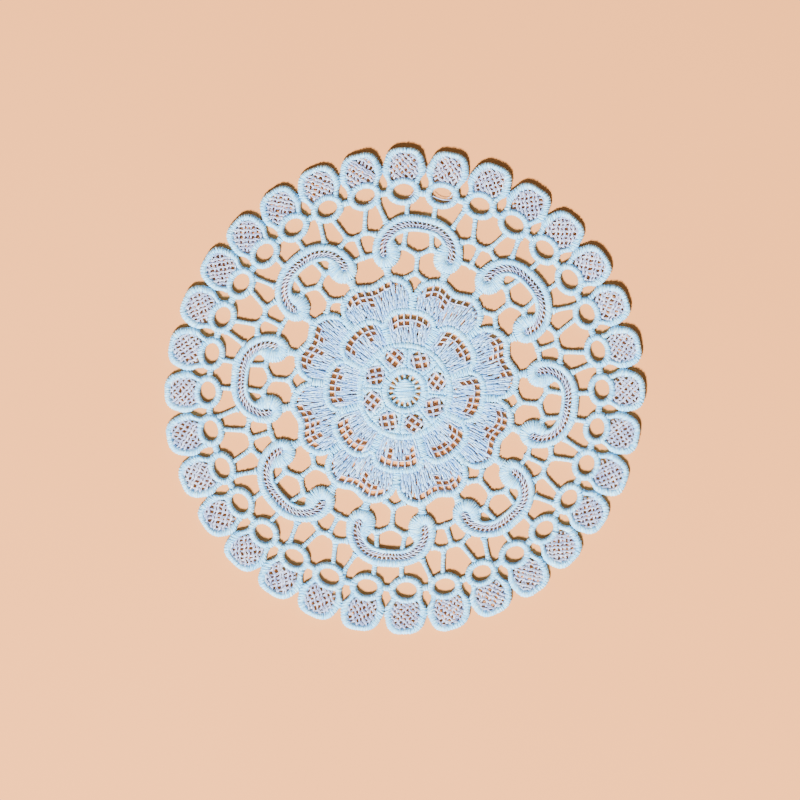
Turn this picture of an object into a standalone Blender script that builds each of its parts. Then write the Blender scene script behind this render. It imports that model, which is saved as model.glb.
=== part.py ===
"""Round guipure lace mat: a flower, a ring of C scrolls on a ground of bars, and a border of scallops with eyelets.

The lace is one piece. Its plan is worked out in millimetres from overlapping shapes, joined into one outline with
the gaps left open, and made solid with a flat underside and its cords raised on top. The plan is the same in eight
sectors. A place in a sector is (angle, radius): degrees clockwise from the middle of its scroll, and millimetres
from the mat's centre.
"""

from collections import namedtuple
from math import atan2, cos, degrees, exp, hypot, pi, radians, sin, sqrt

import bpy
from mathutils import Vector
from mathutils.geometry import delaunay_2d_cdt

# Driving sizes, in millimetres and degrees
MAT_RADIUS = 75.0
SECTORS = 8
SECTOR_ANGLE = 360.0 / SECTORS
SCALLOPS_PER_SECTOR = 4
SCALLOP_ANGLE = SECTOR_ANGLE / SCALLOPS_PER_SECTOR
FIRST_SCROLL = SCALLOP_ANGLE / 2  # the scroll at the top stands half a scallop clockwise of +Y

BASE_HEIGHT = 1.0  # bars, edges and net
FILL_HEIGHT = 1.15  # stitched filling of the petals
CORD_HEIGHT = 1.6  # crest of a satin cord

PULL = 0.0095  # the lace is pulled out of round by this share of its radius
PULL_DIRECTION = 24.0  # clockwise from +Y, where it reaches furthest

BAR_WIDTH = 1.4
LINK_WIDTH = 1.7
LINK_HALF_ANGLE = 1.6

# A scallop is a rounded shape on the radius through its middle
SCALLOP_WIDEST = 69.0
SCALLOP_HALF_WIDTH = 6.85
SCALLOP_RISE = MAT_RADIUS - SCALLOP_WIDEST
SCALLOP_DROP = 6.1
SCALLOP_SQUARENESS = 2.3
RIM_HALF_WIDTH = 0.95
NET_MIDDLE = 69.0
NET_HALF_WIDTH = 4.4
NET_HALF_HEIGHT = 3.9

EYELET_RADIUS = 61.2  # the eyelet under each scallop, from the mat's centre
EYELET_HOLE = (3.4, 2.45)
EYELET_CREST = (4.6, 3.3)
EYELET_OUTSIDE = (5.8, 4.15)

# The scroll is an arch between two ovals on one centre, with a round volute at each end
SCROLL_CENTRE = 42.8
ARCH_OUTSIDE = (13.95, 11.7)
ARCH_INSIDE = (9.2, 6.45)
ARCH_SQUARENESS = 2.2
VOLUTE_CENTRE = (9.45, 41.7)
VOLUTE_RADIUS = 4.5
CORD_INSET = 0.95

# Petal outlines are radii that swell between notches
PETAL_NOTCH = 30.9
PETAL_SWELL = 5.6
PETAL_DIP = 0.9
PETAL_DIP_ANGLE = 5.0
INNER_NOTCH = 18.5
INNER_SWELL = 6.4
HEART_BAND = 14.0
HEART_CREST = 6.2
HEART_GROOVE = 4.2
HEART_BOSS = 3.2
BOSS_HEIGHT = 1.5
ROSETTE_RADIUS = 10.8
ROSETTE_HALF_WIDTH = 2.8

# Bars of the ground, for the right half of a sector
Bar = namedtuple("Bar", "name angle_a radius_a angle_b radius_b width")
PAIRED_BARS = [
    Bar("eyelet to arch", 4.4, 58.6, 4.4, 53.4, BAR_WIDTH),
    Bar("eyelet to shoulder", 12.9, 59.6, 11.7, 51.6, BAR_WIDTH),
    Bar("eyelet to saddle", 17.0, 58.4, 19.2, 50.6, BAR_WIDTH),
    Bar("saddle to arch", 19.2, 50.6, 15.0, 48.9, BAR_WIDTH),
    Bar("saddle", 19.2, 50.6, 22.5, 49.6, BAR_WIDTH),
    Bar("post to volute", 22.5, 43.6, 17.2, 43.1, BAR_WIDTH),
    Bar("arch to tie", 5.2, 49.8, 4.9, 44.6, BAR_WIDTH),
    Bar("tie", 8.2, 43.9, 4.9, 44.6, BAR_WIDTH),
    Bar("yoke", 4.9, 44.6, 0.0, 42.1, BAR_WIDTH),
    Bar("fork", 0.0, 36.0, 5.4, 34.2, BAR_WIDTH),
    Bar("volute to petal", 13.5, 38.8, 13.5, 35.6, 2.0),
]
SINGLE_BARS = [
    Bar("post", 22.5, 49.6, 22.5, 43.6, BAR_WIDTH),
    Bar("stem", 0.0, 42.0, 0.0, 36.0, BAR_WIDTH),
]

SHORTEST_EDGE = 0.5  # outline points nearer than this are made one
STRAIGHTEST_BEND = 0.09  # and points that bend the outline less than this are left out
SMALLEST_GAP = 0.8  # square millimetres: a chink between overlapping shapes is closed
MERGE = 1e-4
MM = 0.001


def polar(angle, radius):
    """Sector place to x and y, in millimetres."""
    return radius * sin(radians(angle)), radius * cos(radians(angle))


def turned(points, angle):
    """Points turned clockwise about the mat's centre."""
    c, s = cos(radians(angle)), sin(radians(angle))
    return [(x * c + y * s, y * c - x * s) for x, y in points]


def mirrored(points):
    return [(-x, y) for x, y in reversed(points)]


def oval(centre, half_width, half_height, steps, squareness=2.0, start=0.0, end=360.0):
    """Points round an oval, anticlockwise from its right end. A part of it keeps both of its ends."""
    closed = end - start >= 360.0
    points = []
    for i in range(steps if closed else steps + 1):
        a = radians(start + (end - start) * i / steps)
        c, s = cos(a), sin(a)
        u = abs(c) ** (2 / squareness) * (1 if c >= 0 else -1)
        v = abs(s) ** (2 / squareness) * (1 if s >= 0 else -1)
        points.append((centre[0] + half_width * u, centre[1] + half_height * v))
    return points


def scallop_outline():
    """Squarer above its widest line than below it."""
    middle = (0.0, SCALLOP_WIDEST)
    top = oval(middle, SCALLOP_HALF_WIDTH, SCALLOP_RISE, 10, SCALLOP_SQUARENESS, 0, 180)
    foot = oval(middle, SCALLOP_HALF_WIDTH, SCALLOP_DROP, 6, 2.0, 180, 360)
    return top + foot[1:-1]


def scallop_crest():
    middle = (0.0, SCALLOP_WIDEST)
    half_width = SCALLOP_HALF_WIDTH - RIM_HALF_WIDTH
    rise = SCALLOP_RISE - RIM_HALF_WIDTH
    return oval(middle, half_width, rise, 8, SCALLOP_SQUARENESS, -30, 210)


def scallop_net():
    return oval((0.0, NET_MIDDLE), NET_HALF_WIDTH, NET_HALF_HEIGHT, 8, 2.4)


def eyelet(half_sizes, steps):
    return oval((0.0, EYELET_RADIUS), *half_sizes, steps)


def arch_line(inset_outside=None, inset_inside=None, steps=8, start=0.0, end=180.0):
    """A line along the arch, a distance in from its outer or its inner edge."""
    if inset_outside is not None:
        a, b = (side - inset_outside for side in ARCH_OUTSIDE)
        return oval((0.0, SCROLL_CENTRE), a, b, steps, ARCH_SQUARENESS, start, end)
    a, b = (side + inset_inside for side in ARCH_INSIDE)
    return oval((0.0, SCROLL_CENTRE), a, b, steps, 2.0, start, end)


def arch_outline():
    return arch_line(inset_outside=0.0, steps=14) + arch_line(inset_inside=0.0, steps=10)[::-1]


def volute_outline():
    return oval(VOLUTE_CENTRE, VOLUTE_RADIUS, VOLUTE_RADIUS, 12)


def scroll_crest():
    """The outer cord: round one volute, over the arch and round the other."""
    radius = VOLUTE_RADIUS - CORD_INSET
    right = oval(VOLUTE_CENTRE, radius, radius, 6, 2.0, -210, -15)
    over = arch_line(inset_outside=CORD_INSET, steps=8, start=8, end=172)
    return right + over + mirrored(right)


def scroll_channel():
    """The low netted channel down the middle of the arch, which ends inside the volutes."""
    a = (ARCH_OUTSIDE[0] + ARCH_INSIDE[0]) / 2 - 0.6
    b = (ARCH_OUTSIDE[1] + ARCH_INSIDE[1]) / 2 - 0.2
    return oval((0.0, SCROLL_CENTRE), a, b, 8, ARCH_SQUARENESS, -2, 182)


def scroll_inner_crest():
    return arch_line(inset_inside=0.75, steps=6, start=32, end=148)


def petal_radius(angle_from_middle, inset=0.0):
    """Outer edge of a double-lobed outer petal."""
    s = min(abs(angle_from_middle) / (SECTOR_ANGLE / 2), 1.0)
    swell = PETAL_SWELL * sqrt(1.0 - s**2.6)
    dip = PETAL_DIP * exp(-((angle_from_middle / PETAL_DIP_ANGLE) ** 2))
    return PETAL_NOTCH + swell - dip - inset


def inner_petal_radius(angle_from_middle, inset=0.0):
    """Crest of the cord round an inner petal."""
    s = min(abs(angle_from_middle) / (SECTOR_ANGLE / 2), 1.0)
    return INNER_NOTCH + INNER_SWELL * sqrt(1.0 - s**3) - inset


def petal_line(radius_of, middle, reach, steps, inset):
    """A line along a petal, inside its edge, that ends reach degrees each side of its middle."""
    line = []
    for i in range(steps + 1):
        angle = reach * (2 * i / steps - 1)
        line.append(polar(middle + angle, radius_of(angle, inset)))
    return line


def flower_outline():
    """Eight outer petals. Points crowd towards the notches, where the outline turns fastest."""
    half = SECTOR_ANGLE / 2
    steps = 12
    outline = []
    for k in range(SECTORS):
        for i in range(steps):
            angle = -half * cos(pi * i / steps)
            outline.append(polar(k * SECTOR_ANGLE + half + angle, petal_radius(angle)))
    return outline


def bar_outline(bar):
    """A strip of the bar's width between its two places."""
    ax, ay = polar(bar.angle_a, bar.radius_a)
    bx, by = polar(bar.angle_b, bar.radius_b)
    length = hypot(bx - ax, by - ay)
    nx, ny = -(by - ay) / length * bar.width / 2, (bx - ax) / length * bar.width / 2
    return [(ax + nx, ay + ny), (bx + nx, by + ny), (bx - nx, by - ny), (ax - nx, ay - ny)]


def link_outline():
    """The short knot between two neighbouring eyelets."""
    link = Bar("link", -LINK_HALF_ANGLE, EYELET_RADIUS, LINK_HALF_ANGLE, EYELET_RADIUS, LINK_WIDTH)
    return bar_outline(link)


def sector_shapes():
    """(cloth, holes): the overlapping outlines of one sector."""
    cloth, holes = [], []
    for i in range(SCALLOPS_PER_SECTOR):
        middle = SCALLOP_ANGLE * (i - 1.5)
        cloth.append(turned(scallop_outline(), middle))
        cloth.append(turned(eyelet(EYELET_OUTSIDE, 12), middle))
        cloth.append(turned(link_outline(), middle + SCALLOP_ANGLE / 2))
        holes.append(turned(eyelet(EYELET_HOLE, 10), middle))
    cloth += [arch_outline(), volute_outline(), mirrored(volute_outline())]
    cloth += [bar_outline(bar) for bar in SINGLE_BARS]
    for bar in PAIRED_BARS:
        cloth += [bar_outline(bar), mirrored(bar_outline(bar))]
    return cloth, holes


def sector_relief():
    """(height, closed, line) for each crest and groove of one sector."""
    relief = []
    for i in range(SCALLOPS_PER_SECTOR):
        middle = SCALLOP_ANGLE * (i - 1.5)
        relief.append((CORD_HEIGHT, False, turned(scallop_crest(), middle)))
        relief.append((BASE_HEIGHT, True, turned(scallop_net(), middle)))
        relief.append((CORD_HEIGHT, True, turned(eyelet(EYELET_CREST, 10), middle)))
    relief.append((CORD_HEIGHT, False, scroll_crest()))
    relief.append((BASE_HEIGHT, False, scroll_channel()))
    relief.append((CORD_HEIGHT, False, scroll_inner_crest()))
    half = SECTOR_ANGLE / 2
    relief.append((CORD_HEIGHT, False, petal_line(petal_radius, half, 19.6, 8, 1.1)))
    relief.append((FILL_HEIGHT, False, petal_line(petal_radius, half, 17.5, 6, 2.6)))
    relief.append((FILL_HEIGHT, False, petal_line(inner_petal_radius, 0.0, 16.0, 4, -1.3)))
    relief.append((CORD_HEIGHT, False, petal_line(inner_petal_radius, 0.0, half, 8, 0.0)))
    relief.append((FILL_HEIGHT, False, petal_line(inner_petal_radius, 0.0, 15.0, 4, 1.5)))
    relief.append((CORD_HEIGHT, False, [polar(0.0, HEART_BAND), polar(half, HEART_BAND)]))
    relief.append((CORD_HEIGHT, False, [polar(0.0, HEART_CREST), polar(half, HEART_CREST)]))
    relief.append((CORD_HEIGHT, False, [polar(0.0, PETAL_NOTCH - 1.2), polar(0.0, PETAL_NOTCH - 4.5)]))
    rosette = oval((0.0, ROSETTE_RADIUS), ROSETTE_HALF_WIDTH, ROSETTE_HALF_WIDTH, 6)
    relief.append((BASE_HEIGHT, True, turned(rosette, half)))
    return relief


def heart_relief():
    """Rings round the mat's centre, and the flat boss in the middle."""
    steps = 2 * SECTORS
    return [
        (BASE_HEIGHT, True, oval((0.0, 0.0), HEART_GROOVE, HEART_GROOVE, steps)),
        (BOSS_HEIGHT, True, oval((0.0, 0.0), HEART_BOSS, HEART_BOSS, SECTORS)),
    ]


def round_the_mat(shapes):
    return [turned(s, FIRST_SCROLL + k * SECTOR_ANGLE) for k in range(SECTORS) for s in shapes]


def signed_area(loop):
    return sum(a.x * b.y - b.x * a.y for a, b in zip(loop, loop[1:] + loop[:1])) / 2


def add_outline(points, faces, loop):
    """Adds the loop's points, and a face that takes them anticlockwise."""
    corners = list(range(len(points), len(points) + len(loop)))
    faces.append(corners if signed_area(loop) > 0 else corners[::-1])
    points += loop


def joined_outlines(cloth, holes):
    """The edges of what the cloth shapes cover together, less the holes, as closed loops of points."""
    points, faces = [], []
    for shape in cloth + holes:
        add_outline(points, faces, [Vector(p) for p in shape])
    points, _, triangles, _, _, covered_by = delaunay_2d_cdt(points, [], faces, 1, MERGE)
    edges = set()
    for triangle, covering in zip(triangles, covered_by):
        if covering and max(covering) < len(cloth):
            edges.update(zip(triangle, triangle[1:] + triangle[:1]))
    follows = {}
    for a, b in edges:
        if (b, a) not in edges:  # else two triangles share it, so it isn't on the outline
            follows.setdefault(a, []).append(b)
    loops = []
    while any(follows.values()):
        start = next(a for a, nexts in follows.items() if nexts)
        loop, at = [], start
        while follows[at]:
            loop.append(points[at])
            at = follows[at].pop()
        loops.append(loop)
    return loops


def bend(before, point, after):
    """How far the point lies from the line between its neighbours."""
    along = (after - before).normalized()
    across = point - before
    return abs(along.x * across.y - along.y * across.x)


def simplified(loop):
    """The loop without its short edges and its straight bends."""
    kept = []
    for p in loop:
        if not kept or (p - kept[-1]).length > SHORTEST_EDGE:
            kept.append(p)
    if (kept[0] - kept[-1]).length < SHORTEST_EDGE:
        kept.pop()
    i = 0
    while i < len(kept):
        if bend(kept[i - 1], kept[i], kept[(i + 1) % len(kept)]) < STRAIGHTEST_BEND:
            kept.pop(i)
        else:
            i += 1
    return kept


def lace_plan():
    """(points, heights, triangles) of the lace seen from above."""
    cloth, holes = sector_shapes()
    cloth = round_the_mat(cloth) + [turned(flower_outline(), FIRST_SCROLL)]
    loops = joined_outlines(cloth, round_the_mat(holes))
    loops = [simplified(loop) for loop in loops if abs(signed_area(loop)) > SMALLEST_GAP]
    loops.sort(key=signed_area, reverse=True)
    points, heights, edges, faces = [], [], [], []
    for loop in loops:
        add_outline(points, faces, loop)
        heights += [BASE_HEIGHT] * len(loop)
    relief = heart_relief()
    for height, closed, line in sector_relief():
        relief += [(height, closed, shape) for shape in round_the_mat([line])]
    for height, closed, line in relief:
        first = len(points)
        points += [Vector(p) for p in line]
        heights += [height] * len(line)
        edges += [(i, i + 1) for i in range(first, len(points) - 1)]
        if closed:
            edges.append((len(points) - 1, first))
    flat, _, triangles, origins, _, inside = delaunay_2d_cdt(points, edges, faces, 1, MERGE)
    level = [max((heights[i] for i in origin), default=BASE_HEIGHT) for origin in origins]
    kept = [t for t, loops_round_it in zip(triangles, inside) if loops_round_it == [0]]
    return flat, level, kept


def pulled(point):
    """The plan's point where the lace, slightly out of round, has it, in metres."""
    around = degrees(atan2(point.x, point.y)) - PULL_DIRECTION
    share = 1.0 + PULL * cos(2 * radians(around))
    return point.x * share * MM, point.y * share * MM, 0.0


def cotton():
    material = bpy.data.materials.new("white_cotton")
    material.use_nodes = True
    shader = material.node_tree.nodes["Principled BSDF"]
    shader.inputs["Base Color"].default_value = (0.80, 0.88, 0.93, 1.0)
    shader.inputs["Roughness"].default_value = 0.75
    shader.inputs["Metallic"].default_value = 0.0
    return material


def lace_mat(collection):
    """The plan as a mesh on the surface, thickened upwards by each point's own height."""
    flat, level, triangles = lace_plan()
    used = sorted({i for t in triangles for i in t})
    number = {old: new for new, old in enumerate(used)}
    mesh = bpy.data.meshes.new("lace_mat")
    mesh.from_pydata([pulled(flat[i]) for i in used], [], [[number[i] for i in t] for t in triangles])
    mesh.materials.append(cotton())
    mat = bpy.data.objects.new("lace_mat", mesh)
    collection.objects.link(mat)
    relief = mat.vertex_groups.new(name="relief")
    for i in used:
        relief.add([number[i]], level[i] / CORD_HEIGHT, "REPLACE")
    thicken = mat.modifiers.new("thickness", "SOLIDIFY")
    thicken.thickness = CORD_HEIGHT * MM
    thicken.offset = 1.0
    thicken.use_even_offset = False
    thicken.vertex_group = relief.name
    return mat


for leftover in list(bpy.data.objects):
    bpy.data.objects.remove(leftover)
lace = bpy.data.collections.new("lace_mat")
bpy.context.scene.collection.children.link(lace)
lace_mat(lace)
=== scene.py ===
import bpy
import numpy as np
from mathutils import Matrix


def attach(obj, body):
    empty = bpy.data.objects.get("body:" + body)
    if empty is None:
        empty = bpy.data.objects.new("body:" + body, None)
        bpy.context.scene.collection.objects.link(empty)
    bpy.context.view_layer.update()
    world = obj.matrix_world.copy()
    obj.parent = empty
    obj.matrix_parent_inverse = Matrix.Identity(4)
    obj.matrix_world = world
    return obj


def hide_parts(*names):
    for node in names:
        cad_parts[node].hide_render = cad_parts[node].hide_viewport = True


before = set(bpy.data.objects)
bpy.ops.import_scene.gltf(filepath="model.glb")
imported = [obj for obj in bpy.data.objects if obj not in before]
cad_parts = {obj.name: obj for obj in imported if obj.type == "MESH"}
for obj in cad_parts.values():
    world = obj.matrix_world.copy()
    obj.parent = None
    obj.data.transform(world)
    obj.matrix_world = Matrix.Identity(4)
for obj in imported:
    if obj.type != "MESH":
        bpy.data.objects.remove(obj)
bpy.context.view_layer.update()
for picked in list(bpy.context.selected_objects):
    picked.select_set(False)
print("frame loaded")

# The plan is in millimetres, the same in every sector. A place in a sector is (angle, radius): degrees
# clockwise from its scroll's middle, and the distance from the mat's centre.
lace = {
    "sectors": 8,
    "firstScroll": 5.275,  # the scroll at the top stands this far clockwise of +Y
    "scallops": 32,
    "pull": 0.0095,  # pulled out of round by this share, furthest in the direction below
    "pullDirection": 24.0,
    # the pattern wanders softly in its own plane: height of each wave, radians per mm of x and y, and phase
    "driftX": [(0.14, 0.0, 0.19, 1.1), (0.084, 0.43, -0.31, 0.4)],
    "driftY": [(0.14, 0.21, 0.0, 2.3), (0.084, 0.37, 0.41, 5.0)],
    "lift": 0.3,  # the far edge stands this much off the table
    "liftDirection": 38.0,
    "flatTo": 38.0,  # the lift and the ripple grow from this radius out to the rim
    "rim": 75.0,
    "ripple": [(0.16, 5, 1.0), (0.10, 11, 2.6)],  # height of each wave, how many go round, and phase
    "lowest": 0.03,  # nothing comes nearer than this to the table
    "seed": 11,
}
rng = np.random.default_rng(lace["seed"])
sector, scallopStep = 360 / lace["sectors"], 360 / lace["scallops"]
halfSector = sector / 2
sectorTurns = [lace["firstScroll"] + k * sector for k in range(lace["sectors"])]
scallopTurns = [lace["firstScroll"] + (k - 0.5) * scallopStep for k in range(lace["scallops"])]


# drawing the plan, in millimetres
def polar(angle, radius):
    a = np.radians(angle)
    return np.stack([radius * np.sin(a), radius * np.cos(a)], -1)


def turned(points, angle):  # clockwise
    c, s = np.cos(np.radians(angle)), np.sin(np.radians(angle))
    return np.stack([points[..., 0] * c + points[..., 1] * s, points[..., 1] * c - points[..., 0] * s], -1)


def flipped(points):
    return points * (-1, 1)


def oval(centre, halfWidth, halfHeight, count=73):
    a = np.radians(np.linspace(0, 360, count))
    return np.stack([centre[0] + halfWidth * np.cos(a), centre[1] + halfHeight * np.sin(a)], 1)


def lengths(line):  # running length at each point
    return np.concatenate([[0], np.cumsum(np.hypot(*np.diff(line, axis=0).T))])


def resampled(line, count):
    run = lengths(line)
    at = np.linspace(0, run[-1], count)
    return np.stack([np.interp(at, run, line[:, i]) for i in range(line.shape[1])], 1)


def curveThrough(rows, closed=False, fine=8):  # a smooth curve through the rows of a short table
    rows = np.array(rows, float)
    if closed:
        ring = np.concatenate([rows[-1:], rows, rows[:2]])
    else:
        ring = np.concatenate([2 * rows[:1] - rows[1:2], rows, 2 * rows[-1:] - rows[-2:-1]])
    t = np.linspace(0, 1, fine, endpoint=False)[:, None]
    bits = []
    for a, b, c, d in zip(ring, ring[1:], ring[2:], ring[3:]):
        squared, cubed = 2 * a - 5 * b + 4 * c - d, 3 * b - a - 3 * c + d
        bits.append(0.5 * (2 * b + (c - a) * t + squared * t**2 + cubed * t**3))
    return np.concatenate(bits + [rows[:1] if closed else rows[-1:]])


def bothHalves(table):  # a right half and its mirror image, joined: the near and the far edge, left to right
    half = curveThrough(table)
    whole = np.concatenate([half[:0:-1] * (-1, 1, -1, 1), half])
    return whole[:, 2:], whole[:, :2]


def insetLine(line, amount):  # moved to the line's right by amount, which may vary along it
    way = np.gradient(line, axis=0)
    way /= np.hypot(way[:, 0], way[:, 1])[:, None]
    return line + np.stack([way[:, 1], -way[:, 0]], 1) * np.broadcast_to(amount, len(line))[:, None]


def laid(x, y, z):  # plan millimetres to the mat as it lies, in metres
    around = np.arctan2(x, y)
    share = 1 + lace["pull"] * np.cos(2 * (around - np.radians(lace["pullDirection"])))
    shift = [sum(high * np.sin(perX * x + perY * y + phase) for high, perX, perY, phase in lace[drift])
             for drift in ("driftX", "driftY")]
    edge = np.clip((np.hypot(x, y) - lace["flatTo"]) / (lace["rim"] - lace["flatTo"]), 0, 1) ** 2
    far = 0.5 + 0.5 * np.cos(around - np.radians(lace["liftDirection"]))
    ripple = sum(high * (1 + np.sin(waves * around + phase)) for high, waves, phase in lace["ripple"])
    up = edge * (lace["lift"] * far + ripple)
    return np.stack([x * share + shift[0], y * share + shift[1], z + up], -1) * 0.001


# thread, gathered into baskets that each become one mesh at the end
def newBasket():
    return {"points": [], "quads": [], "tone": [], "uv": [], "count": 0}


def gather(basket, points, quads, tone, uv):
    basket["points"].append(points.reshape(-1, 3))
    basket["quads"].append(quads.reshape(-1, 4) + basket["count"])
    basket["tone"].append(np.broadcast_to(tone, points.shape[:-1]).reshape(-1))
    basket["uv"].append(uv.reshape(-1, 2))
    basket["count"] += points.size // 3


def addThreads(basket, lines, halfWidth, thick):  # lines is (thread, step, xyz), in millimetres
    strands, steps = lines.shape[:2]
    way = np.gradient(lines[..., :2], axis=1)
    way /= np.maximum(np.hypot(way[..., 0], way[..., 1]), 1e-9)[..., None]
    halfWidth = np.broadcast_to(halfWidth, (strands, steps))[..., None]
    aside = np.stack([way[..., 1], -way[..., 0]], -1) * halfWidth
    rails = np.repeat(lines[:, :, None, :], 4, 2)  # right, top, left and low side of the thread
    rails[:, :, 0, :2] += aside
    rails[:, :, 1, 2] += thick
    rails[:, :, 2, :2] -= aside
    rails[:, :, 3, 2] -= thick
    points = laid(rails[..., 0], rails[..., 1], np.maximum(rails[..., 2], lace["lowest"]))
    first = np.arange(strands)[:, None, None] * steps * 4
    step = np.arange(steps - 1)[None, :, None] * 4
    k = np.arange(4)[None, None, :]
    k2 = (k + 1) % 4
    sides = np.stack([first + step + k, first + step + 4 + k, first + step + 4 + k2, first + step + k2], -1)
    starts = first[:, 0] + np.array([[0, 1, 2, 3]])
    ends = first[:, 0] + (steps - 1) * 4 + np.array([[3, 2, 1, 0]])
    quads = np.concatenate([sides.reshape(-1, 4), starts, ends])
    stepLengths = np.linalg.norm(np.diff(lines, axis=1), axis=2)
    run = np.concatenate([np.zeros((strands, 1)), np.cumsum(stepLengths, 1)], 1)
    u = np.repeat(run[:, :, None], 4, 2)
    v = np.broadcast_to(np.arange(4) * yarn["side"], u.shape)  # millimetres along the thread, and round it
    gather(basket, points, quads, rng.uniform(0, 1, strands)[:, None, None], np.stack([u, v], -1))


def matched(near, far, closed=False, guide=None):  # two edges drawn point for point, and the run along them
    if closed:
        near, far = np.concatenate([near, near[:1]]), np.concatenate([far, far[:1]])
    nearStep, farStep = (np.hypot(*np.diff(edge, axis=0).T) for edge in (near, far))
    longer = np.maximum(nearStep, farStep)
    run = lengths(guide) if guide is not None else np.concatenate([[0], np.cumsum(longer)])
    return {"near": near, "far": far, "share": run / run[-1], "length": run[-1], "closed": closed,
            "crowding": (farStep - nearStep) / longer, "between": (run[1:] + run[:-1]) / 2 / run[-1]}


def between(edges, where, across):  # the point at a share of the way along, and a share of the way over
    where = where % 1 if edges["closed"] else np.clip(where, 0, 1)
    a, b = (np.stack([np.interp(where, edges["share"], edges[side][:, i]) for i in (0, 1)], -1)
            for side in ("near", "far"))
    return a + (b - a) * across[..., None]


def archHeight(across, look):
    u = np.clip(np.abs(2 * across - 1), 0, 1)
    return look["edge"] + (look["crest"] - look["edge"]) * (1 - u ** look["round"])


def layThreads(basket, edges, start, slant, begin, end, look):  # threads from the near edge to the far one
    # start, slant, begin and end are columns, with a row for each thread
    u = -np.cos(np.pi * np.arange(look["steps"]) / (look["steps"] - 1))[None, :]
    atEnds = np.abs(u) ** look["endPower"]
    across = begin + (end - begin) * (1 + u) / 2
    plan = between(edges, start + slant / edges["length"] * (2 * across - 1), across)
    height = archHeight(across, look) - look["dip"] * atEnds + rng.normal(0, look["wobble"], start.shape)
    half = 0.5 * look["width"] * rng.uniform(*look["vary"], start.shape) * (1 - look["taper"] * atEnds)
    addThreads(basket, np.concatenate([plan, height[..., None]], -1), half, look["thick"])


def addSatin(basket, edges, look):  # threads side by side, each right over the band
    count = max(2, int(round(edges["length"] / look["pitch"])))
    odd = np.arange(count)[:, None] % 2
    start = (np.arange(count)[:, None] + 0.5 + rng.uniform(-1, 1, (count, 1)) * look["uneven"]) / count
    slant = look["slant"] * (1 - 2 * odd) + rng.normal(0, look["jitter"], (count, 1)) * look["pitch"]
    crowding = np.interp(start, edges["between"], edges["crowding"])
    # on the inside of a tight bend every other stitch stops short
    shortNear, shortFar = (0.5 * odd * np.clip(side * crowding - look["tight"], 0, 1) for side in (1, -1))
    begin = shortNear + look["ragged"] * rng.uniform(-1, look["inward"], (count, 1))
    end = 1 - shortFar + look["ragged"] * rng.uniform(-look["inward"], 1, (count, 1))
    layThreads(basket, edges, start, slant, begin, end, look)


def addFill(basket, edges, span, look):  # staggered stitches, row by row; span is the fill's usual width
    count = max(2, int(round(edges["length"] / look["pitch"])))
    rows = int(np.ceil(span / look["stitch"])) + 1
    column, row = (g.reshape(-1, 1) for g in np.meshgrid(np.arange(count), np.arange(rows), indexing="ij"))
    shake = rng.uniform(-look["staggerShake"], look["staggerShake"], (count * rows, 1))
    stagger = (column * look["stagger"] + shake) % 1
    bunch = look["bunch"] * (1 - (column + row) % 3)  # stitches lie in threes, with a short slit after each
    start = (column + 0.5 + bunch + rng.uniform(-1, 1, column.shape) * look["uneven"]) / count
    begin = np.clip((row - stagger) * look["stitch"] / span, 0, 1)
    end = np.clip((row - stagger + (1 + look["overlap"])) * look["stitch"] / span, 0, 1)
    keep = (end - begin > look["shortest"])[:, 0]
    slant = rng.normal(0, look["slant"], column.shape)
    layThreads(basket, edges, start[keep], slant[keep], begin[keep], end[keep], look)


# the cross-section of the padding, in millimetres and in shares of the way over the band
padding = {
    "section": 0.9,  # from one cross-section to the next
    "across": [0.03, 0.17, 0.38, 0.62, 0.83, 0.97, 0.9, 0.1],  # over the top from near to far, and back below
    "under": 0.8,  # its top is this share of a thread's thickness below the middle of the threads
    "shoulder": 0.2,  # how high its sides stand
    "tone": 0.3,
}


def addCore(basket, edges, look):  # the padding that satin stitches are laid over
    count = max(2, int(round(edges["length"] / padding["section"])))
    where = np.linspace(0, 1, count + 1)[:, None]
    if edges["closed"]:
        where = where[:-1]
    across = np.array([padding["across"]])
    z = archHeight(across, look) - look["thick"] * padding["under"]
    z[0, [0, 5]] = padding["shoulder"]
    z[0, [6, 7]] = lace["lowest"]
    across = np.repeat(across, len(where), 0)
    plan = between(edges, where + 0 * across, across)
    points = laid(plan[..., 0], plan[..., 1], np.broadcast_to(z, plan.shape[:2]))
    k = np.arange(8)[None, :]
    k2 = (k + 1) % 8
    this = (np.arange(len(where) if edges["closed"] else len(where) - 1) * 8)[:, None]
    following = (this + 8) % (len(where) * 8)
    quads = np.stack([this + k, this + k2, following + k2, following + k], -1).reshape(-1, 4)
    if not edges["closed"]:
        cap = np.array([[7, 6, 1, 0], [6, 5, 2, 1], [5, 4, 3, 2]])
        quads = np.concatenate([quads, cap, cap[:, ::-1] + (len(where) - 1) * 8])
    along = edges["near"][1] + edges["far"][1] - edges["near"][0] - edges["far"][0]
    over = edges["far"][0] - edges["near"][0]
    if over[0] * along[1] - over[1] * along[0] < 0:
        quads = quads[:, ::-1]
    uv = np.stack([where * edges["length"] + 0 * across, across], -1)
    gather(basket, points, quads, padding["tone"], uv)


# how the threads of a net lie, in degrees and millimetres
weave = {
    "firstLine": (0.3, 0.7),  # how far in the first line is, as a share of the pitch
    "skew": 2.5,  # a set of lines is turned by about this much more or less
    "phase": 0.7,  # the pairs twist out of step by up to this many radians
    "lag": 0.4,
    "shake": 0.04,
    "layer": 0.12,  # one set of pairs is this much above the middle, and the other as much below
    "bob": 0.1,  # up and down from crossing to crossing
    "bobShake": 0.02,
}


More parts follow.
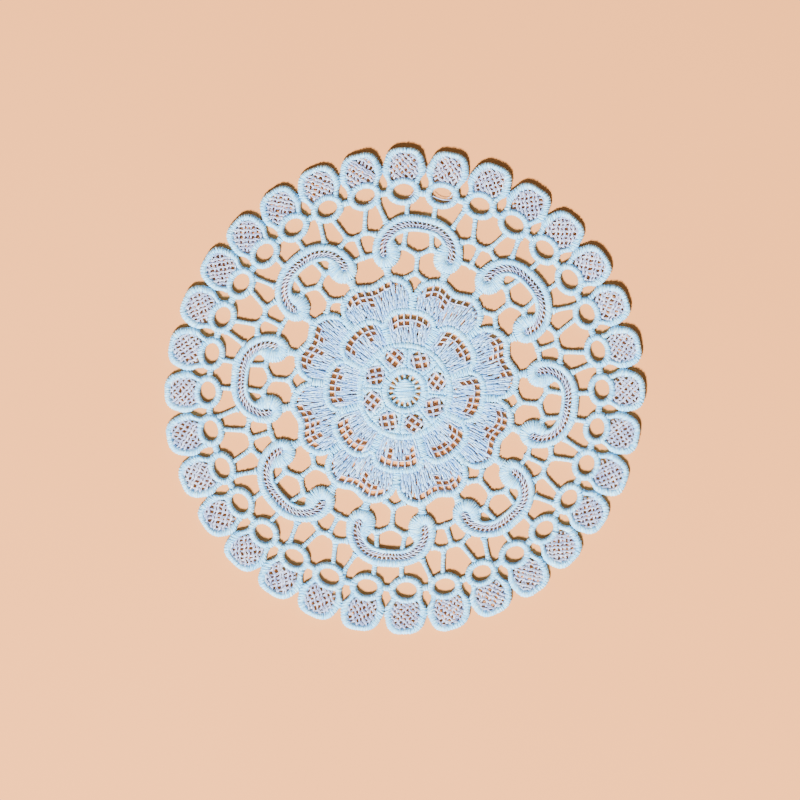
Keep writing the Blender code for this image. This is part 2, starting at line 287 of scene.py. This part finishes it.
def chords(centre, halfWidth, halfHeight, angle, pitch, uneven):  # the ends of parallel lines across an oval
    c, s = np.cos(np.radians(angle)), np.sin(np.radians(angle))
    spread = np.hypot(halfWidth * s, halfHeight * c)
    offsets = np.arange(-spread + pitch * rng.uniform(*weave["firstLine"]), spread, pitch)
    pairs = []
    for d in offsets + rng.normal(0, uneven * pitch, len(offsets)):  # the line's distance from the middle
        a2 = (c / halfWidth) ** 2 + (s / halfHeight) ** 2
        b2 = 2 * d * (-s * c / halfWidth**2 + c * s / halfHeight**2)
        root = b2 * b2 - 4 * a2 * ((d * s / halfWidth) ** 2 + (d * c / halfHeight) ** 2 - 1)
        if root > 0:
            ends = [(-b2 + sign * np.sqrt(root)) / (2 * a2) for sign in (-1, 1)]
            pairs.append([(centre[0] - d * s + t * c, centre[1] + d * c + t * s) for t in ends])
    return np.array(pairs)


def addNet(basket, centre, halfWidth, halfHeight, look, turn):  # two sets of thread pairs crossing
    for side, angle in ((-1, look["angle"]), (1, look["angle"] + 90)):
        skewed = angle + rng.normal(0, weave["skew"])
        pairs = chords(centre, halfWidth, halfHeight, skewed, look["pitch"], look["uneven"])
        way = pairs[:, 1] - pairs[:, 0]
        long = np.hypot(way[:, 0], way[:, 1])[:, None]
        aside = np.stack([-way[:, 1], way[:, 0]], 1)[:, None] / long[:, None]
        t = np.linspace(0, 1, look["steps"])[None, :]
        wave = np.pi * t * long / look["pitch"] + rng.uniform(0, weave["phase"], (len(pairs), 1))
        for strand in (-1, 1):
            sway = strand * look["apart"] + look["sway"] * np.sin(wave + strand * weave["lag"])
            sway = sway + rng.normal(0, weave["shake"], sway.shape)
            line = pairs[:, :1] * (1 - t[..., None]) + pairs[:, 1:] * t[..., None] + aside * sway[..., None]
            z = look["height"] + weave["layer"] * side + weave["bob"] * np.cos(wave)
            z = z + rng.normal(0, weave["bobShake"], wave.shape)
            line = np.concatenate([turned(line, turn), z[..., None]], -1)
            addThreads(basket, line, look["width"] / 2, look["thick"])


def finishPiece(name, basket, material):
    points = np.concatenate(basket["points"]).astype(np.float32)
    quads = np.concatenate(basket["quads"]).astype(np.int32)
    mesh = bpy.data.meshes.new(name)
    mesh.vertices.add(len(points))
    mesh.vertices.foreach_set("co", points.ravel())
    mesh.loops.add(quads.size)
    mesh.loops.foreach_set("vertex_index", quads.ravel())
    mesh.polygons.add(len(quads))
    mesh.polygons.foreach_set("loop_start", np.arange(len(quads), dtype=np.int32) * 4)
    mesh.polygons.foreach_set("use_smooth", np.ones(len(quads), bool))
    mesh.update(calc_edges=True)
    tone = mesh.attributes.new("tone", "FLOAT", "POINT")
    tone.data.foreach_set("value", np.concatenate(basket["tone"]).astype(np.float32))
    uv = mesh.uv_layers.new(name="thread")
    uv.data.foreach_set("uv", np.concatenate(basket["uv"]).astype(np.float32)[quads.ravel()].ravel())
    mesh.materials.append(material)
    piece = bpy.data.objects.new(name, mesh)
    bpy.context.scene.collection.objects.link(piece)
    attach(piece, "root")
    print(name, len(quads) * 2, "triangles")
    return piece


# materials
def linear(hexColour):
    parts = [int(hexColour[i:i + 2], 16) / 255 for i in (1, 3, 5)]
    return tuple(p / 12.92 if p <= 0.04045 else ((p + 0.055) / 1.055) ** 2.4 for p in parts) + (1.0,)


def addNode(tree, kind, settings=None, links=None):
    node = tree.nodes.new(kind)
    for key, value in (settings or {}).items():
        if isinstance(key, int) or key in node.inputs:
            node.inputs[key].default_value = value
        else:
            setattr(node, key, value)
    for key, source in (links or {}).items():
        tree.links.new(source, node.inputs[key])
    return node


# Cotton embroidery thread. Its patterns are in millimetres. The ply shows as a slant mark every 0.4 mm, as on
# the real thread, where each of a thread's four sides is mapped as "side" wide. The fuzz stands for loose
# fibres of 0.02 mm, and is drawn as coarse as 0.6 mm so that it shows as speckle.
yarn = {"ply": 0.4, "side": 0.196, "fuzz": 0.6, "patch": 7.0, "sheen": 0.25, "relief": 0.08}


def embroideryThread(name, look):  # each strand has a tone of its own, paler and deeper patches and speckle
    material = bpy.data.materials.new(name)
    material.use_nodes = True
    tree = material.node_tree
    shader = tree.nodes["Principled BSDF"]
    coords = addNode(tree, "ShaderNodeTexCoord")
    tone = addNode(tree, "ShaderNodeAttribute", {"attribute_name": "tone"})
    uv = addNode(tree, "ShaderNodeUVMap", {"uv_map": "thread"})
    strand = addNode(tree, "ShaderNodeValToRGB", links={"Fac": tone.outputs["Fac"]})
    for stop, colour in zip(strand.color_ramp.elements, (look["shade"], look["light"])):
        stop.color = linear(colour)
    wander = addNode(tree, "ShaderNodeTexNoise", {"Scale": 1000 / yarn["patch"], "Detail": 3.0},
                     {"Vector": coords.outputs["Object"]})
    fade = addNode(tree, "ShaderNodeMapRange", {"From Min": 0.35, "From Max": 0.75, "To Max": look["mottle"]},
                   {"Value": wander.outputs["Fac"]})
    fuzz = addNode(tree, "ShaderNodeTexNoise", {"Scale": 1000 / yarn["fuzz"], "Detail": 2.0},
                   {"Vector": coords.outputs["Object"]})
    speckle = addNode(tree, "ShaderNodeMapRange", {"From Min": 0.42, "From Max": 0.66, "To Max": 0.7},
                      {"Value": fuzz.outputs["Fac"]})
    worn = addNode(tree, "ShaderNodeMath", {"operation": "ADD"},
                   {0: fade.outputs["Result"], 1: speckle.outputs["Result"]})
    soft = addNode(tree, "ShaderNodeMix", {"data_type": "RGBA", 7: linear(look["deep"])},
                   {0: worn.outputs[0], 6: strand.outputs["Color"]})
    tree.links.new(soft.outputs[2], shader.inputs["Base Color"])
    slantMarks = {"Scale": 0.2 * np.pi / yarn["ply"], "Distortion": 0.6, "bands_direction": "DIAGONAL"}
    twist = addNode(tree, "ShaderNodeTexWave", slantMarks, {"Vector": uv.outputs["UV"]})
    rough = addNode(tree, "ShaderNodeMath", {"operation": "MULTIPLY_ADD", 1: 0.5},
                    {0: fuzz.outputs["Fac"], 2: twist.outputs["Fac"]})
    bump = addNode(tree, "ShaderNodeBump", {"Strength": look["bump"], "Distance": yarn["relief"] / 1000},
                   {"Height": rough.outputs[0]})
    tree.links.new(bump.outputs["Normal"], shader.inputs["Normal"])
    shader.inputs["Roughness"].default_value = look["roughness"]
    shader.inputs["Sheen Weight"].default_value = yarn["sheen"]
    shader.inputs["Sheen Roughness"].default_value = 0.4
    return material


thread = {
    # mercerised and laid close side by side: a cool white with a soft lustre, blue in the shade
    "satin": {"light": "#C2F4FF", "shade": "#82D4FC", "deep": "#52B0EA",
              "mottle": 0.2, "bump": 0.5, "roughness": 0.5},
    # long single stitches: light and shade change from thread to thread; all the fill's colours are bluer and
    # deeper than the satin's, partly as painted shade between its threads, which reads violet in the slits
    "fill": {"light": "#D0F0FF", "shade": "#7EBAEE", "deep": "#4E90DA",
             "mottle": 0.2, "bump": 0.5, "roughness": 0.5},
    # thin thread crossed in the open: the whitest of all; its grey shade and deep tones are painted shade for
    # where the threads pass over each other, laid on strands and patches at random
    "net": {"light": "#F4F8FF", "shade": "#B0C4EC", "deep": "#7C92CC",
            "mottle": 0.2, "bump": 0.5, "roughness": 0.5},
    # matt running stitches under the satin, seen only between its threads; coloured a deeper blue than the
    # satin as painted shade in those gaps
    "padding": {"light": "#98E0FC", "shade": "#8CD6F6", "deep": "#7CC8EE",
                "mottle": 0.5, "bump": 0.5, "roughness": 0.7},
}
satinThread = embroideryThread("mercerised cotton satin stitch", thread["satin"])
fillThread = embroideryThread("cotton filling stitch", thread["fill"])
netThread = embroideryThread("cotton net thread", thread["net"])
paddingThread = embroideryThread("cotton padding stitch", thread["padding"])
print("threads ready")

# How satin stitches lie, in millimetres; most bands start from this. The real thread is about 0.25 mm thick,
# and one here stands for two, so that the stitches show.
satin = {
    "pitch": 0.48, "width": 0.46, "thick": 0.19, "steps": 6,
    "vary": (0.86, 1.12), "taper": 0.4, "endPower": 6,  # widths differ, and narrow near a thread's ends
    "edge": 0.4, "crest": 1.3, "round": 2.7, "dip": 0.12, "wobble": 0.06,  # heights across the band
    "slant": 0.13, "jitter": 0.25, "uneven": 0.22, "tight": 0.35,
    "ragged": 0.035, "inward": 0.6,  # an end strays out over the edge, and in by this share of that
}
core = newBasket()


def band(basket, near, far, look, closed=False):
    edges = matched(near, far, closed)
    addCore(core, edges, look)
    addSatin(basket, edges, look)


# scallops and eyelets; the right half of a scallop's rim, from its top to its foot
scallopTable = [  # x, y on the outside and the matching x, y on the inside
    (0.0, 75.1, 0.0, 73.2), (2.3, 75.0, 1.7, 73.1), (4.2, 74.3, 2.9, 72.5), (5.4, 73.1, 3.65, 71.6),
    (6.0, 71.8, 4.05, 70.5), (6.35, 70.5, 4.2, 69.3), (6.7, 69.3, 4.25, 68.2), (6.75, 68.2, 4.2, 67.3),
    (6.45, 66.9, 4.1, 66.5), (5.55, 65.7, 3.8, 65.7), (4.98, 64.5, 3.3, 64.9), (4.8, 63.4, 2.9, 64.3),
]
scallopLean = {"share": 0.055, "pivot": 67.0}  # every scallop leans clockwise
scallopUnlike = 0.012  # no two are stitched quite alike: their sizes differ by this share
# A net's threads are tall, because each stands for several passes of thread, and the holes look dark.
scallopNet = {"middle": (0, 69.3), "halfWidth": 4.95, "halfHeight": 4.95, "pitch": 1.32, "angle": 45,
              "uneven": 0.11, "apart": 0.14, "sway": 0.19, "height": 0.66, "width": 0.27, "thick": 0.36,
              "steps": 15}
eyelet = {"hole": ((0, 61.5), 3.17, 2.37), "outside": ((0, 61.5), 5.35, 4.35), "crest": 1.4}
knot = {"radius": 61.15, "halfAngle": 1.2, "halfHeight": 0.98}  # it ties two eyelets together
scallopThreads, netThreads, eyeletThreads, barThreads = newBasket(), newBasket(), newBasket(), newBasket()


def leaning(points):
    return points + (points[..., 1:] - scallopLean["pivot"]) * (scallopLean["share"], 0)


inside, outside = (leaning(edge) for edge in bothHalves(scallopTable))
netMiddle = leaning(np.array(scallopNet["middle"]))
eyeletLook = {**satin, "crest": eyelet["crest"]}
hole, ring = (oval(*eyelet[name])[:-1] for name in ("hole", "outside"))
knotAngles = np.linspace(-knot["halfAngle"], knot["halfAngle"], 5) + scallopStep / 2
knotLow, knotHigh = (polar(knotAngles, knot["radius"] + side * knot["halfHeight"]) for side in (-1, 1))
for turn in scallopTurns:
    stretch = 1 + rng.normal(0, scallopUnlike, 2)
    near, far = ((edge - netMiddle) * stretch + netMiddle for edge in (inside, outside))
    band(scallopThreads, turned(near, turn), turned(far, turn), {**satin, "crest": 1.25})
    addNet(netThreads, netMiddle, scallopNet["halfWidth"], scallopNet["halfHeight"], scallopNet, turn)
    band(eyeletThreads, turned(hole, turn), turned(ring, turn), eyeletLook, closed=True)
    band(barThreads, turned(knotLow, turn), turned(knotHigh, turn), {**satin, "crest": 1.1})
print("scallops and eyelets stitched")

# bars of the ground: (name, angle and radius of each end), the right half of a sector; the bar from a volute
# to a petal is broader than the others
bars = {"halfWidth": 0.66, "flare": 0.6, "web": 0.65, "crest": 1.05, "broader": 0.35, "points": 25}
pairedBars = [
    ("eyelet to arch", 4.4, 58.4, 4.4, 53.6),
    ("eyelet to shoulder", 13.4, 59.0, 11.3, 52.2),
    ("eyelet to saddle", 17.0, 58.4, 19.2, 50.6),
    ("saddle to arch", 19.2, 50.6, 15.4, 49.0),
    ("saddle", 19.2, 50.6, 22.5, 49.6),
    ("post to volute", 22.5, 43.6, 17.2, 43.1),
    ("arch to tie", 4.4, 49.8, 5.5, 44.5),
    ("tie", 8.2, 43.9, 5.5, 44.5),
    ("yoke", 5.5, 44.5, 0.0, 42.1),
    ("fork", 0.0, 36.5, 5.4, 34.4),
    ("volute to petal", 13.5, 38.4, 13.5, 35.4),
]
singleBars = [("post", 22.5, 49.6, 22.5, 43.6), ("stem", 0.0, 42.0, 0.0, 36.0)]


def barEdges(name, angleA, radiusA, angleB, radiusB):
    a, b = polar(angleA, radiusA), polar(angleB, radiusB)
    long = np.hypot(*(b - a))
    way = (b - a) / long
    run = np.linspace(0, long, bars["points"])[:, None]
    half = bars["halfWidth"] + (bars["broader"] if name == "volute to petal" else 0)
    half = half + bars["flare"] * np.exp(-np.minimum(run, long - run) / bars["web"])  # webs fill the corners
    aside = np.array([way[1], -way[0]]) * half
    return a + way * run - aside, a + way * run + aside


barLook = {**satin, "crest": bars["crest"], "slant": 0.1, "ragged": 0.08, "steps": 5}
for turn in sectorTurns:
    for bar in pairedBars + singleBars:
        near, far = barEdges(*bar)
        band(barThreads, turned(near, turn), turned(far, turn), barLook)
        if bar in pairedBars:
            band(barThreads, turned(flipped(near), turn), turned(flipped(far), turn), barLook)
print("bars wrapped")

# scrolls: x, y on the outline and the matching x, y on the slit down the middle, the right half
scrollTable = [
    (0.0, 54.6, 0.0, 52.3), (3.4, 54.45, 2.6, 52.2), (6.4, 53.6, 4.9, 51.75), (9.0, 52.1, 7.0, 50.95),
    (11.2, 50.1, 8.7, 49.75), (12.8, 47.8, 10.1, 48.2), (13.7, 45.4, 11.1, 46.4), (13.95, 43.0, 11.6, 44.4),
    (13.85, 41.0, 11.55, 42.6), (13.0, 39.0, 11.2, 41.3), (11.3, 37.5, 10.8, 40.8), (9.3, 37.1, 10.3, 40.6),
    (7.2, 37.75, 9.85, 40.7), (5.7, 39.2, 9.5, 41.1), (5.1, 41.2, 9.4, 41.7), (5.25, 43.1, 9.6, 42.7),
    (6.3, 44.9, 9.8, 43.8), (7.3, 46.0, 9.6, 45.0), (6.9, 47.2, 8.6, 46.9), (5.5, 48.1, 7.2, 48.6),
    (3.9, 48.75, 5.4, 49.75), (2.1, 49.1, 2.9, 50.4), (0.0, 49.2, 0.0, 50.5),
]
half = np.array(scrollTable)
scrollLoop = curveThrough(np.concatenate([half, half[-2:0:-1] * (-1, 1, -1, 1)]), closed=True)[:-1]
slitEnd = 12  # rows of the table from the arch's top to the slit's end
outerSlit, innerSlit = half[:slitEnd, 2:], resampled(half[slitEnd - 1:, 2:], slitEnd)[::-1]
slitEdges = bothHalves(np.concatenate([outerSlit, innerSlit], 1))
# a rung's reach is in shares of the way over the slit, from its own wall to past the middle
slitLook = {**satin, "pitch": 1.42, "width": 0.38, "thick": 0.52, "edge": 0.7, "crest": 0.8, "steps": 4,
            "lean": 0.34, "first": (0.2, 0.36), "reach": (-0.25, 0.55), "otherSide": 0.7}
slitMiddle = {"points": 70, "shake": 0.04, "height": 0.75, "halfWidth": 0.16}
scrollLook = {**satin, "crest": 1.4, "edge": 0.55, "round": 3.2, "wobble": 0.025, "ragged": 0.02}
scrollThreads = newBasket()
for turn in sectorTurns:
    near, far = turned(scrollLoop[:, 2:], turn), turned(scrollLoop[:, :2], turn)
    band(scrollThreads, near, far, scrollLook, closed=True)
    slit = matched(turned(slitEdges[0], turn), turned(slitEdges[1], turn))
    count = int(slit["length"] / slitLook["pitch"])
    for side in (0, 1):  # rungs from each wall to the thread down the middle, so that the holes alternate
        start = (np.arange(count)[:, None] + 0.5 * side + rng.uniform(*slitLook["first"], (count, 1))) / count
        begin, end = (np.full(start.shape, at + slitLook["otherSide"] * side) for at in slitLook["reach"])
        layThreads(netThreads, slit, start, slitLook["lean"] * (1 - 2 * side), begin, end, slitLook)
    along = np.linspace(0, 1, slitMiddle["points"])[None, :]
    plan = between(slit, along, rng.normal(0.5, slitMiddle["shake"], along.shape))
    line = np.concatenate([plan, np.full(plan[..., :1].shape, slitMiddle["height"])], -1)
    addThreads(netThreads, line, slitMiddle["halfWidth"], slitLook["thick"])
print("scrolls stitched")

# The flower. An angle in a petal is from the petal's own middle. A column of windows is (angle, how many), a
# small hole is (angle, size), and the rib between two petals is (half its width, from radius, to radius).
flower = {
    "outer": {"middle": halfSector, "notch": 29.3, "swell": 7.4, "power": 2.7, "dip": 2.1, "rim": 2.2,
              "side": 1.4, "window": 1.75, "columnAngle": 3.6, "spread": 19.5,
              "columns": [(-14.2, 1), (-10.6, 2), (-7.0, 2), (-3.2, 3), (0.5, 1), (4.1, 1), (7.8, 1)],
              "pricks": [(11.2, 0.5), (13.0, 0.7), (14.9, 0.6), (16.7, 0.8), (-17.3, 0.6)], "deeper": 0.18,
              "rib": (1.3, 25.0, 30.4)},
    "inner": {"middle": 0, "notch": 21.2, "swell": 4.8, "power": 2.9, "dip": 0.0, "foot": 14.8, "rim": 2.35,
              "side": 1.5, "window": 1.85, "columnAngle": 5.0, "spread": 19.0,
              "columns": [(-12.8, 2), (-7.8, 1), (-2.9, 1), (2.1, 1), (7.1, 2), (12.1, 1)],
              "pricks": [(15.8, 0.6)], "deeper": 0.4, "rib": (1.4, 14.6, 21.9)},
}
# a petal's rim narrows over this share of its half, and its inner edge counts down to "below" under the notch
petalEdge = {"points": 120, "narrowing": 0.2, "dipAngle": 6, "below": 3.5}
fill = {**satin, "pitch": 0.6, "width": 0.44, "steps": 5, "slant": 0.12, "uneven": 0.35, "edge": 0.9,
        "crest": 1.0, "round": 2.0, "dip": 0.42, "wobble": 0.05, "stitch": 2.7, "bunch": 0.26,
        "stagger": 0.37, "staggerShake": 0.12, "overlap": 0.08, "shortest": 0.08}
underFill = {**fill, "pitch": 0.92, "width": 0.42, "slant": 0.8, "edge": 0.45, "crest": 0.5, "thick": 0.3,
             "dip": 0.1, "stitch": 5.0, "bunch": 0.0}
# threads round the windows, which lie in pairs: angles in degrees, the rest in millimetres
windowLook = {"prickAngle": 0.62, "tuck": 0.4, "footTuck": 0.6, "overrun": 0.2, "steps": 5, "shake": 0.03,
              "apartAngle": 0.16, "apart": 0.1, "height": 0.7, "cross": 0.1, "bob": 0.04, "halfWidth": 0.13,
              "thick": 0.42}


def petalRadius(angle, look):
    s = np.clip(np.abs(angle) / halfSector, 0, 1)
    dip = look["dip"] * np.exp(-((angle / petalEdge["dipAngle"]) ** 2))
    return look["notch"] + look["swell"] * np.sqrt(1 - s ** look["power"]) - dip


def petalRim(look):  # outside and inside edges of a petal's rim, petal pointing along +Y
    angle = -halfSector * np.cos(np.linspace(0, np.pi, 81))
    outside = resampled(polar(angle, petalRadius(angle, look)), petalEdge["points"])
    toEnd = 1 - np.abs(np.linspace(-1, 1, petalEdge["points"]))
    broad = np.clip(toEnd / petalEdge["narrowing"], 0, 1)
    return outside, insetLine(outside, look["side"] + (look["rim"] - look["side"]) * broad)


def petalRib(look):  # the band between two petals, along the sector's edge
    half, low, high = look["rib"]
    radius = np.linspace(low, high, 20)
    aside = np.array([[half, 0.0]])
    middle = np.stack([0 * radius, radius], 1)
    return middle - aside, middle + aside


def rimInside(inside, look, angles):  # the radius of a rim's inner edge
    angle, radius = np.degrees(np.arctan2(inside[:, 0], inside[:, 1])), np.hypot(*inside.T)
    keep = radius > look["notch"] - petalEdge["below"]
    order = np.argsort(angle[keep])
    return np.interp(angles, angle[keep][order], radius[keep][order])


def petalWindows(look, angles, top):  # how far out the filling reaches, and the threads round each window
    reach = top + windowLook["tuck"]
    for angle, size in look["pricks"]:  # small holes close under the rim
        here = np.abs(angles - angle) < windowLook["prickAngle"]
        reach[here] = top[here] - size
    cells = []
    for column, depth in look["columns"]:
        depth += int(rng.random() < look["deeper"])  # no two petals open up quite alike
        sides = column + np.array([-0.5, 0.5]) * look["columnAngle"]
        here = (angles > sides[0]) & (angles < sides[1])
        reach[here] = top[here] - depth * look["window"]
        rims = np.interp(sides, angles, top)
        for level in range(1, depth + 1):  # a thread down each side of a window and one along its foot
            low = rims - level * look["window"]
            high = rims - (level - (1 + windowLook["overrun"])) * look["window"]
            cells += [[(sides[0], high[0]), (sides[0], low[0])], [(sides[1], high[1]), (sides[1], low[1])],
                      [(sides[0], low[0]), (sides[1], low[1])]]
    return reach, np.array(cells)


flowerThreads, petalThreads, windowThreads = newBasket(), newBasket(), newBasket()
ribLook = {**satin, "crest": 1.1, "edge": 0.6, "round": 2.0}
for name, look in flower.items():
    outside, inside = petalRim(look)
    angles = np.linspace(-look["spread"], look["spread"], 400)
    top = rimInside(inside, look, angles)
    if name == "outer":
        foot = petalRadius(halfSector - np.abs(angles), flower["inner"]) - windowLook["footTuck"]
    else:
        foot = np.full(len(angles), look["foot"])
    for turn in sectorTurns:
        turn = turn + look["middle"]
        reach, cells = petalWindows(look, angles, top)
        band(flowerThreads, turned(inside, turn), turned(outside, turn), {**satin, "crest": 1.2})
        band(flowerThreads, *(turned(edge, turn + halfSector) for edge in petalRib(look)), ribLook)
        edges = matched(polar(angles + turn, foot), polar(angles + turn, reach), guide=polar(angles, top))
        addFill(petalThreads, edges, float(np.mean(reach - foot)), underFill)
        addFill(petalThreads, edges, float(np.mean(reach - foot)), fill)
        for strand in (-1, 1):
            t = np.linspace(0, 1, windowLook["steps"])[None, :, None]
            place = cells[:, :1] * (1 - t) + cells[:, 1:] * t  # an angle and a radius
            place = place + rng.normal(0, windowLook["shake"], place.shape) * (2, 1)
            line = polar(place[..., 0] + turn + strand * windowLook["apartAngle"],
                         place[..., 1] + strand * windowLook["apart"])
            z = windowLook["height"] + windowLook["cross"] * strand
            z = z + rng.normal(0, windowLook["bob"], line.shape[:2])
            line = np.concatenate([line, z[..., None]], -1)
            addThreads(windowThreads, line, windowLook["halfWidth"], windowLook["thick"])
print("petals stitched")

# the flower's heart
heart = {"ring": (13.0, 15.4), "collar": (4.95, 7.6), "disc": 3.4, "discAngle": 86, "rosette": 10.55,
         "rosetteRadius": 3.0, "tuck": 0.3, "cell": (7.2, 13.3), "cellReach": 7}
spokes = {"count": 16, "radii": [3.2, 4.2, 5.2], "height": 0.7, "halfWidth": 0.36, "thick": 0.2}
rosetteNet = {**scallopNet, "pitch": 2.05, "steps": 10, "apart": 0.15, "width": 0.32, "thick": 0.5,
              "height": 0.8, "angle": 13.5, "uneven": 0.06, "sway": 0.04}
cellLook = {**satin, "crest": 1.2, "edge": 0.95, "round": 2.0, "dip": 0.16}
heartThreads = newBasket()
around = np.arange(0, 360, 2.0)
band(heartThreads, *(polar(around, r) for r in heart["ring"]), {**satin, "crest": 1.3}, closed=True)
band(heartThreads, *(polar(around, r) for r in heart["collar"]), {**satin, "crest": 1.35}, closed=True)
discSide = polar(90 + np.linspace(-heart["discAngle"], heart["discAngle"], 40), heart["disc"])
band(heartThreads, flipped(discSide), discSide, {**satin, "crest": 1.45, "steps": 8})
centre = polar(halfSector, heart["rosette"])
rosetteHole = oval(centre, heart["rosetteRadius"], heart["rosetteRadius"], count=97)[:-1]
cellWay = rosetteHole - centre
low, high = heart["cell"]
cellEdge = []
for way in cellWay / heart["rosetteRadius"]:  # out to the walls of the rosette's share of the ring
    steps = np.linspace(heart["rosetteRadius"], heart["cellReach"], 200)[:, None] * way + centre
    angle, radius = np.degrees(np.arctan2(steps[:, 0], steps[:, 1])), np.hypot(*steps.T)
    within = (angle > 0) & (angle < sector) & (radius > low) & (radius < high)
    cellEdge.append(steps[np.argmin(within) if not within.all() else -1])
cellEdge = np.array(cellEdge)
netRadius = heart["rosetteRadius"] + heart["tuck"]
for turn in sectorTurns:
    addNet(netThreads, centre, netRadius, netRadius, rosetteNet, turn)
    band(heartThreads, turned(rosetteHole, turn), turned(cellEdge, turn), cellLook, closed=True)
plan = polar(np.arange(spokes["count"])[:, None] * 360 / spokes["count"], np.array([spokes["radii"]]))
line = np.concatenate([plan, np.full(plan[..., :1].shape, spokes["height"])], -1)
addThreads(heartThreads, line, spokes["halfWidth"], spokes["thick"])
print("heart stitched")

# stray ends of thread left across three eyelets, as x, y and x, y
stray = {"ends": [[(-11.1, 58.4), (-8.8, 60.4)], [(1.3, 59.9), (3.2, 62.2)], [(8.8, 60.1), (14.7, 58.9)],
                  [(13.3, 59.5), (14.9, 61.4)]],
         "sag": 0.5, "height": 0.6, "rise": 0.5, "halfWidth": 0.13, "thick": 0.1, "steps": 6}
strayEnds = np.array(stray["ends"])
t = np.linspace(0, 1, stray["steps"])[None, :, None]
line = strayEnds[:, :1] * (1 - t) + strayEnds[:, 1:] * t
line[..., 1] -= stray["sag"] * np.sin(np.pi * t[..., 0])
z = np.repeat(stray["height"] + stray["rise"] * (2 * t[..., 0] - 1) ** 2, len(line), 0)
addThreads(netThreads, np.concatenate([line, z[..., None]], -1), stray["halfWidth"], stray["thick"])

pieces = [
    finishPiece("scallopRims", scallopThreads, satinThread),
    finishPiece("netFillings", netThreads, netThread),
    finishPiece("eyeletRings", eyeletThreads, satinThread),
    finishPiece("groundBars", barThreads, satinThread),
    finishPiece("scrolls", scrollThreads, satinThread),
    finishPiece("petalRims", flowerThreads, satinThread),
    finishPiece("petalFillings", petalThreads, fillThread),
    finishPiece("petalWindows", windowThreads, netThread),
    finishPiece("flowerHeart", heartThreads, satinThread),
]
ground = finishPiece("laceGround", core, paddingThread)
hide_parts("lace_mat")

# table, light and camera; the card is uncoated and pressed smooth, so it is matt and faintly cloudy
table = {"size": 3.0, "colour": "#DF9252", "grain": "#D98C4C"}
bpy.ops.mesh.primitive_plane_add(size=table["size"], location=(0, 0, 0))
tableTop = bpy.context.object
tableTop.name = "tableTop"
paper = bpy.data.materials.new("matte pale card")
paper.use_nodes = True
tree = paper.node_tree
coords = addNode(tree, "ShaderNodeTexCoord")
cloud = addNode(tree, "ShaderNodeTexNoise", {"Scale": 9.0, "Detail": 2.0},
                {"Vector": coords.outputs["Object"]})
blend = addNode(tree, "ShaderNodeValToRGB", links={"Fac": cloud.outputs["Fac"]})
for stop, colour in zip(blend.color_ramp.elements, (table["grain"], table["colour"])):
    stop.color = linear(colour)
tree.links.new(blend.outputs["Color"], tree.nodes["Principled BSDF"].inputs["Base Color"])
tree.nodes["Principled BSDF"].inputs["Roughness"].default_value = 0.9
tableTop.data.materials.append(paper)

studio = {"keyAngle": 204, "keyHeight": 39, "keyDistance": 3.2, "keySize": 0.45, "keyPower": 610,
          "fill": 0.28}
bpy.ops.object.light_add(type="AREA")
key = bpy.context.object
key.name = "keyLight"
key.data.size = studio["keySize"]
key.data.energy = studio["keyPower"]
keyWay = np.array([np.sin(np.radians(studio["keyAngle"])), np.cos(np.radians(studio["keyAngle"]))])
flatReach = studio["keyDistance"] * np.cos(np.radians(studio["keyHeight"]))
key.location = (*(keyWay * flatReach), studio["keyDistance"] * np.sin(np.radians(studio["keyHeight"])))
key.rotation_euler = (-key.location).to_track_quat("-Z", "Y").to_euler()
world = bpy.data.worlds.new("studio")
world.use_nodes = True
world.node_tree.nodes["Background"].inputs["Color"].default_value = linear("#F4F6FA")
world.node_tree.nodes["Background"].inputs["Strength"].default_value = studio["fill"]
bpy.context.scene.world = world

# the field is the side of the picture at the mat
shot = {"height": 0.9, "field": 0.2486, "centre": (-0.0014, -0.0028), "sensor": 36}
bpy.ops.object.camera_add(location=(*shot["centre"], shot["height"]), rotation=(0, 0, 0))
camera = bpy.context.object
camera.name = "overhead"
camera.data.sensor_width = shot["sensor"]
camera.data.lens = shot["sensor"] * shot["height"] / shot["field"]
camera.data.clip_start = 0.01
bpy.context.scene.camera = camera
print("table, light and camera set")
